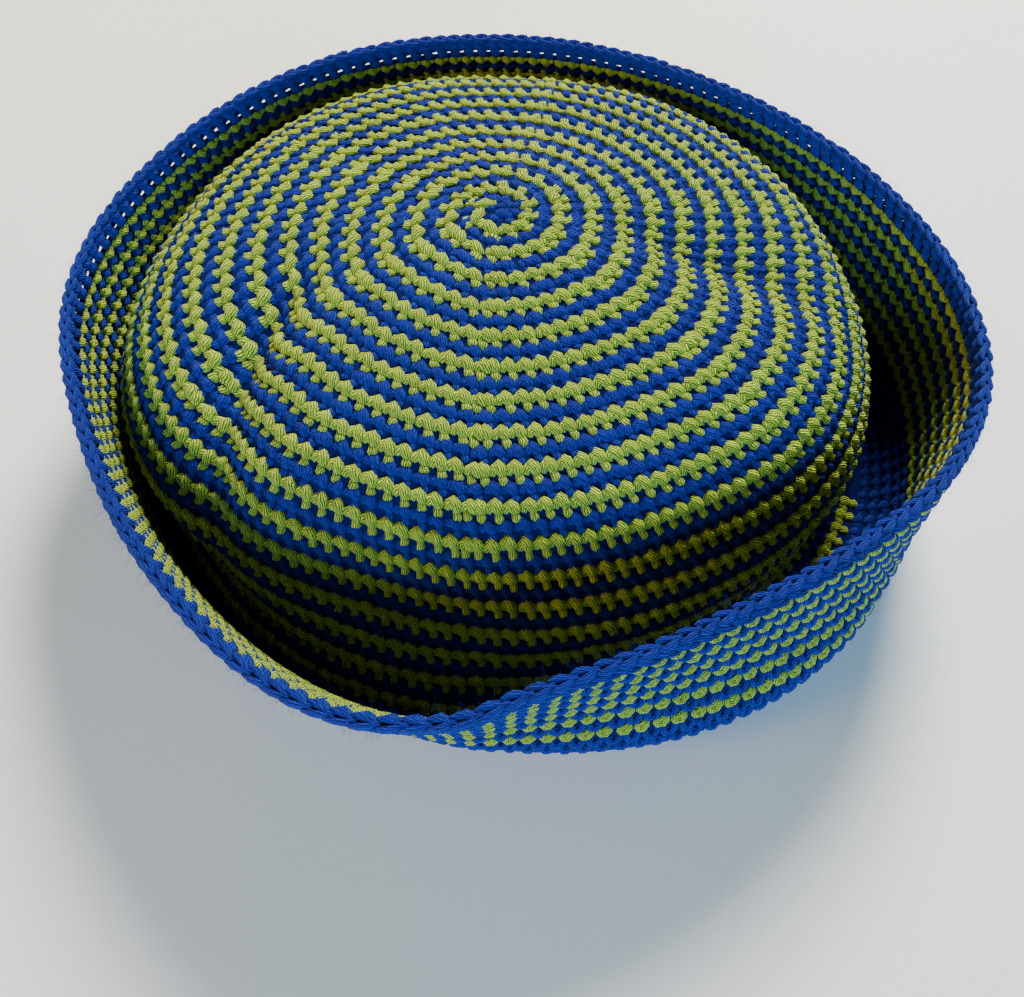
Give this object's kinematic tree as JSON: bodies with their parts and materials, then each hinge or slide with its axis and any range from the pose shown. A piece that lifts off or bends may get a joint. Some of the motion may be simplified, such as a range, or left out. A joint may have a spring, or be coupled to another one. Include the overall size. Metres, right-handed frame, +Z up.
{
  "type": "sailor hat",
  "caption": "Soft crocheted sailor hat with spiral stripes, a domed crown inside a deep turned-up brim and a solid-coloured rim, resting by itself on a flat surface.",
  "frame": {"origin": "middle of the hat's box, on the surface that the hat rests on", "axes": "+Z up through the crown, -Y towards the low front where the brim's outer side shows, +X to the wearer's left"},
  "size_m": [0.2258, 0.2206, 0.0697],
  "materials": {
    "striped_yarn": "matt, soft and slightly fuzzy cotton yarn, green and blue rounds in turn",
    "blue_yarn": "matt, soft and slightly fuzzy cotton yarn, plain blue"
  },
  "bodies": {
    "root": {"crown": "striped_yarn", "fold_band": "blue_yarn", "brim": "striped_yarn", "rim_edging": "blue_yarn"}
  },
  "joints": []
}
